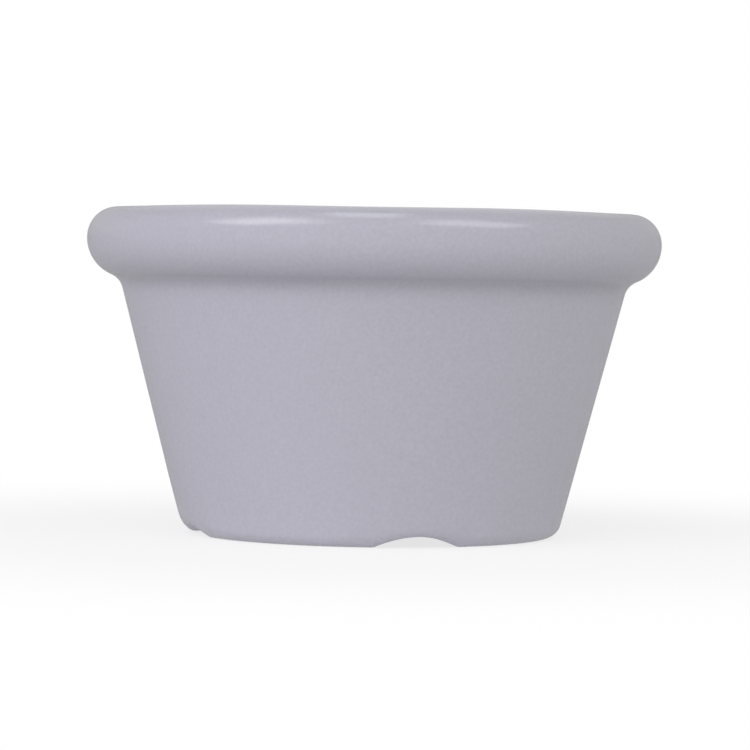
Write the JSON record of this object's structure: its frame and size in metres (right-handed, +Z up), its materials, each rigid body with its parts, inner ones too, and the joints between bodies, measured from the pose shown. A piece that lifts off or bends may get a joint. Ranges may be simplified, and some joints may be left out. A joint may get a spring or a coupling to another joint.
{
  "type": "ramekin",
  "caption": "Small round sauce ramekin in one piece: tapered wall, thick rolled rim, flat floor and a foot ring with drain notches.",
  "frame": {"origin": "centre of the foot ring's resting plane, on the bowl's own axis", "axes": "+Z up along the bowl's axis, through the mouth; +X and +Y each run through the middle of a drain notch"},
  "size_m": [0.079, 0.079, 0.0445],
  "materials": {
    "melamine": "gloss"
  },
  "bodies": {
    "root": {"bowl": "melamine"}
  },
  "joints": []
}
